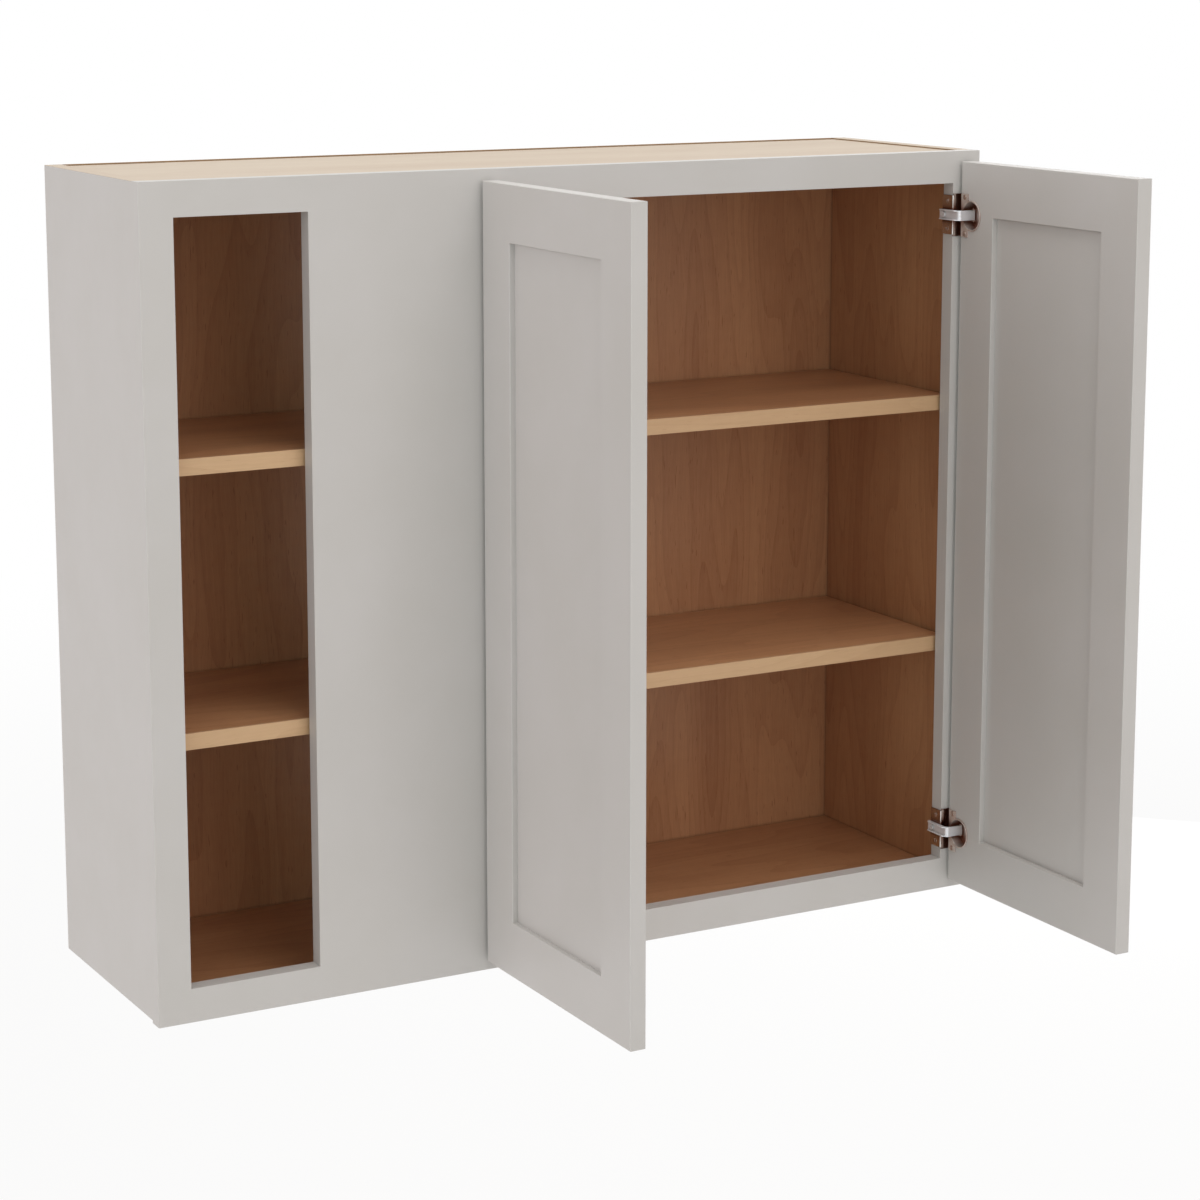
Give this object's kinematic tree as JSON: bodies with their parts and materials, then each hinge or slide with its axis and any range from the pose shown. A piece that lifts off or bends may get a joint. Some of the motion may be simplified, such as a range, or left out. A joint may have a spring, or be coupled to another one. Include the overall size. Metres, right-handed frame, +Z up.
{
  "type": "blind corner wall cabinet",
  "caption": "Wall cabinet for a blind kitchen corner: wide fixed stile, narrow blind opening and a main opening with hinged Shaker doors over shelves.",
  "frame": {"origin": "middle of the back face, at half the cabinet's width and height", "axes": "+X along the front towards the right-hand side, +Y into the wall, +Z up; both doors are stored open at a right angle, as in the picture"},
  "size_m": [1.0668, 0.6312, 0.9144],
  "materials": {
    "satin_paint": "maple under warm light grey satin paint",
    "side_veneer": "plywood, satin paint outside, clear-coated maple veneer inside, raw top edge",
    "maple_veneer": "clear-coated maple veneer on plywood",
    "raw_maple": "raw pale maple veneer on plywood",
    "maple_edge": "clear-coated solid maple",
    "nickel": "bright nickel plate on pressed steel"
  },
  "bodies": {
    "cabinet": {"left_side": "side_veneer", "right_side": "side_veneer", "top_panel": "raw_maple", "bottom_panel": "maple_veneer", "back_panel": "maple_veneer", "hanging_rail": "maple_veneer", "frame_left_stile": "satin_paint", "frame_blind_stile": "satin_paint", "frame_right_stile": "satin_paint", "frame_top_rail": "satin_paint", "frame_bottom_rail": "satin_paint", "upper_shelf": "maple_veneer", "upper_shelf_edge": "maple_edge", "lower_shelf": "maple_veneer", "lower_shelf_edge": "maple_edge", "shelf_pins": "nickel", "left_upper_hinge_plate": "nickel", "left_upper_hinge_arm": "nickel", "left_lower_hinge_plate": "nickel", "left_lower_hinge_arm": "nickel", "right_upper_hinge_plate": "nickel", "right_upper_hinge_arm": "nickel", "right_lower_hinge_plate": "nickel", "right_lower_hinge_arm": "nickel", "plate_screws": "nickel", "arm_screws": "nickel"},
    "left_door": {"left_door_hinge_stile": "satin_paint", "left_door_meeting_stile": "satin_paint", "left_door_top_rail": "satin_paint", "left_door_bottom_rail": "satin_paint", "left_door_panel": "satin_paint", "left_upper_hinge_cup": "nickel", "left_upper_hinge_pin": "nickel", "left_lower_hinge_cup": "nickel", "left_lower_hinge_pin": "nickel", "left_cup_screws": "nickel"},
    "right_door": {"right_door_hinge_stile": "satin_paint", "right_door_meeting_stile": "satin_paint", "right_door_top_rail": "satin_paint", "right_door_bottom_rail": "satin_paint", "right_door_panel": "satin_paint", "right_upper_hinge_cup": "nickel", "right_upper_hinge_pin": "nickel", "right_lower_hinge_cup": "nickel", "right_lower_hinge_pin": "nickel", "right_cup_screws": "nickel"}
  },
  "joints": [
    {"name": "left_door_hinge", "type": "hinge", "parent": "cabinet", "child": "left_door", "pos_m": [-0.1307, -0.31, 0], "axis": [0, 0, 1], "range_deg": [-15, 90]},
    {"name": "right_door_hinge", "type": "hinge", "parent": "cabinet", "child": "right_door", "pos_m": [0.5149, -0.31, 0], "axis": [0, 0, -1], "range_deg": [-15, 90]}
  ]
}
